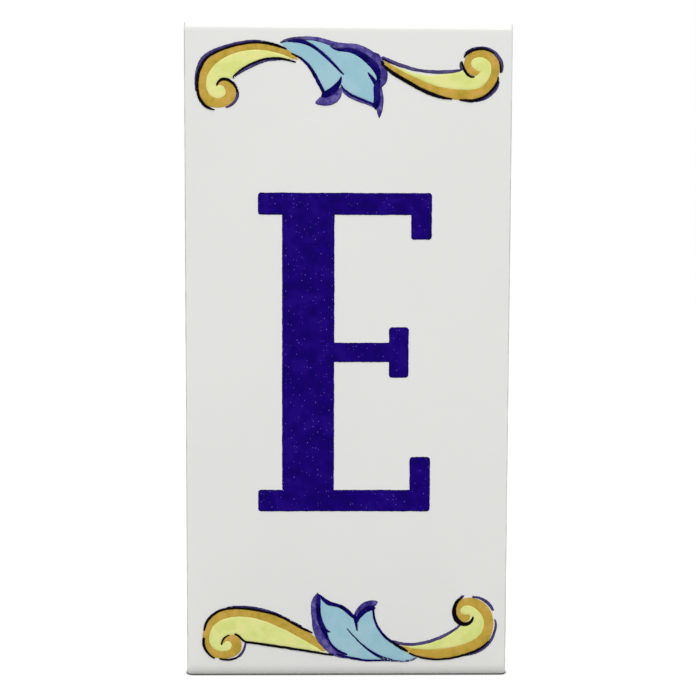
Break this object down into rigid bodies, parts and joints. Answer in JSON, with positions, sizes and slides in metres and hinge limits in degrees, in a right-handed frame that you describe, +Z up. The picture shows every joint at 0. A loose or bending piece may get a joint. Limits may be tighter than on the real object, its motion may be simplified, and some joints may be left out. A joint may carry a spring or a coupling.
{
  "type": "ceramic letter tile",
  "caption": "Upright glazed ceramic tile with a cobalt slab-serif letter E between painted leaf-scroll borders, cushioned ends and a keyed back, made to be set on a wall to spell a name.",
  "frame": {"origin": "centre of the tile's back, on the plane of the ribs that meets the wall", "axes": "+Z up the tile as the letter reads, +X to the right of someone who reads it, +Y into the wall; the painted face looks along -Y"},
  "size_m": [0.074, 0.0072, 0.15],
  "materials": {
    "glazed_face": "white gloss glaze with fired enamel painting"
  },
  "bodies": {
    "root": {"tile": "glazed_face"}
  },
  "joints": []
}
